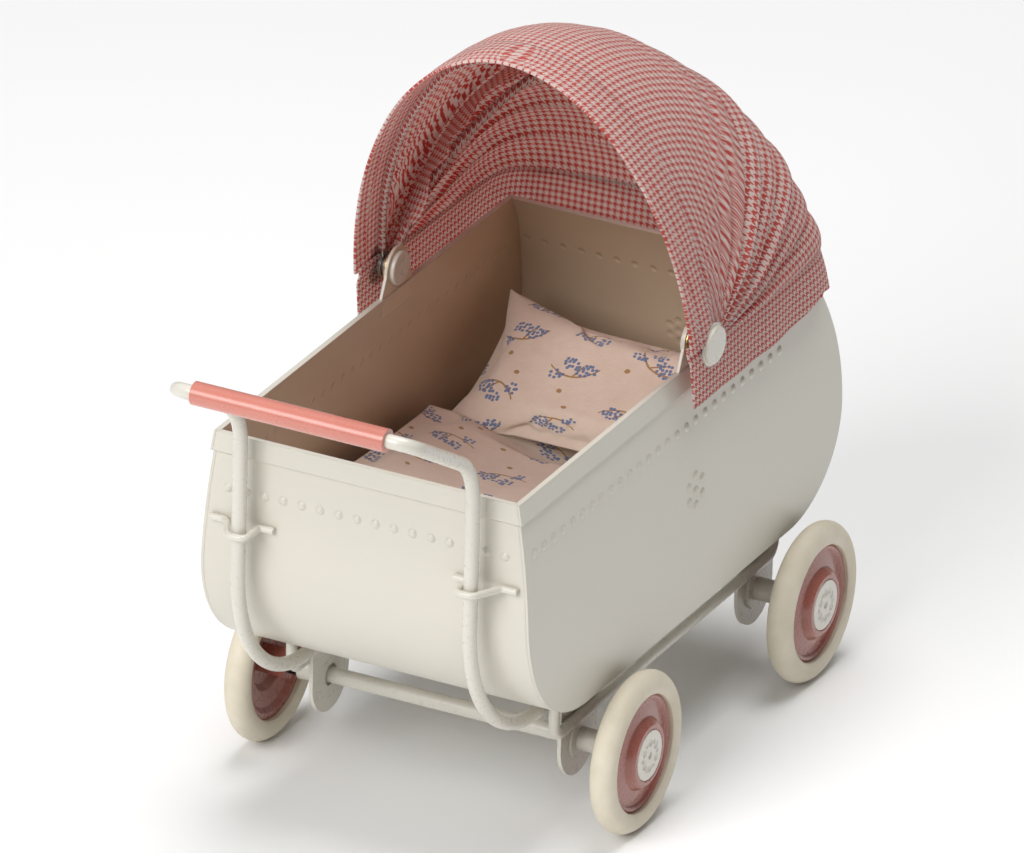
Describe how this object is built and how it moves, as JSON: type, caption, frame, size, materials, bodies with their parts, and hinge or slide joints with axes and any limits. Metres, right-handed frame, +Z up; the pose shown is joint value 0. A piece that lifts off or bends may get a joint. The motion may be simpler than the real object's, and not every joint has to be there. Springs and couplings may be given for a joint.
{
  "type": "doll stroller",
  "caption": "Toy pram in pressed enamelled metal with a gathered fold-back fabric hood, bedding, disc wheels and a looped push handle.",
  "frame": {"origin": "on the floor, midway across the width and along the overall length of the pram", "axes": "+X is to the right of someone pushing it, +Y points forward from the handle to the hooded end, +Z is up"},
  "size_m": [0.0842, 0.1648, 0.1437],
  "materials": {
    "cream_paint": "satin enamel on pressed sheet and wire",
    "coral_paint": "gloss enamel on pressed steel",
    "coral_grip": "gloss sleeve",
    "ivory_rubber": "matt moulded rubber",
    "black_steel": "blackened rod",
    "brass": "plain",
    "spring_steel": "drawn wire",
    "check_fabric": "woven cotton in a small two-colour check",
    "print_fabric": "plain woven linen with a printed berry sprig"
  },
  "bodies": {
    "pram": {"axle_bracket_front_left": "cream_paint", "axle_bracket_front_right": "cream_paint", "axle_bracket_rear_left": "cream_paint", "axle_bracket_rear_right": "cream_paint", "axle_bushing_front_left": "cream_paint", "axle_bushing_front_right": "cream_paint", "axle_bushing_rear_left": "cream_paint", "axle_bushing_rear_right": "cream_paint", "axle_tube_front": "cream_paint", "axle_tube_rear": "cream_paint", "brass_washer_left": "brass", "brass_washer_right": "brass", "chassis_rail_left": "cream_paint", "chassis_rail_right": "cream_paint", "duvet": "print_fabric", "handle_bar": "cream_paint", "handle_clip_left": "cream_paint", "handle_clip_right": "cream_paint", "hood_button_left": "cream_paint", "hood_button_right": "cream_paint", "hood_panel_rear": "check_fabric", "hood_rivet_left": "cream_paint", "hood_rivet_right": "cream_paint", "hood_washer_left": "cream_paint", "hood_washer_right": "cream_paint", "side_panel_left": "cream_paint", "side_panel_right": "cream_paint", "tub_wrap": "cream_paint"},
    "rear_wheelset": {"axle_shaft_rear": "black_steel", "hub_cap_rear_left": "cream_paint", "hub_cap_rear_right": "cream_paint", "tyre_rear_left": "ivory_rubber", "tyre_rear_right": "ivory_rubber", "wheel_disc_rear_left": "coral_paint", "wheel_disc_rear_right": "coral_paint", "wheel_hub_rear_left": "coral_paint", "wheel_hub_rear_right": "coral_paint"},
    "front_wheelset": {"axle_shaft_front": "black_steel", "hub_cap_front_left": "cream_paint", "hub_cap_front_right": "cream_paint", "tyre_front_left": "ivory_rubber", "tyre_front_right": "ivory_rubber", "wheel_disc_front_left": "coral_paint", "wheel_disc_front_right": "coral_paint", "wheel_hub_front_left": "coral_paint", "wheel_hub_front_right": "coral_paint"},
    "grip": {"handle_grip": "coral_grip"},
    "hood_middle": {"hood_bow_middle": "spring_steel"},
    "hood_front": {"hood_bow_front": "spring_steel", "hood_front_band": "check_fabric", "hood_panel_front": "check_fabric"},
    "pillow": {"pillow": "print_fabric"}
  },
  "joints": [
    {"name": "rear_axle_spin", "type": "hinge", "parent": "pram", "child": "rear_wheelset", "pos_m": [0, -0.0113, 0.016], "axis": [1, 0, 0], "continuous": true},
    {"name": "front_axle_spin", "type": "hinge", "parent": "pram", "child": "front_wheelset", "pos_m": [0, 0.0627, 0.016], "axis": [1, 0, 0], "continuous": true},
    {"name": "grip_spin", "type": "hinge", "parent": "pram", "child": "grip", "pos_m": [0, -0.0803, 0.1055], "axis": [1, 0, 0], "continuous": true},
    {"name": "hood_fold", "type": "hinge", "parent": "pram", "child": "hood_middle", "pos_m": [0, 0.0228, 0.0864], "axis": [-1, 0, 0], "range_deg": [0, 42], "deforming": ["hood_panel_rear"]},
    {"name": "hood_front_fold", "type": "hinge", "parent": "hood_middle", "child": "hood_front", "pos_m": [0, 0.0228, 0.0864], "axis": [-1, 0, 0], "range_deg": [0, 45.1], "deforming": ["hood_panel_front"]},
    {"name": "pillow_slide", "type": "slide", "parent": "pram", "child": "pillow", "axis": [0, -0.766, 0.6428], "range_m": [0, 0.16]}
  ],
  "couplings": [
    {"joint": "hood_front_fold", "follows": "hood_fold", "ratio": 1.0714}
  ]
}
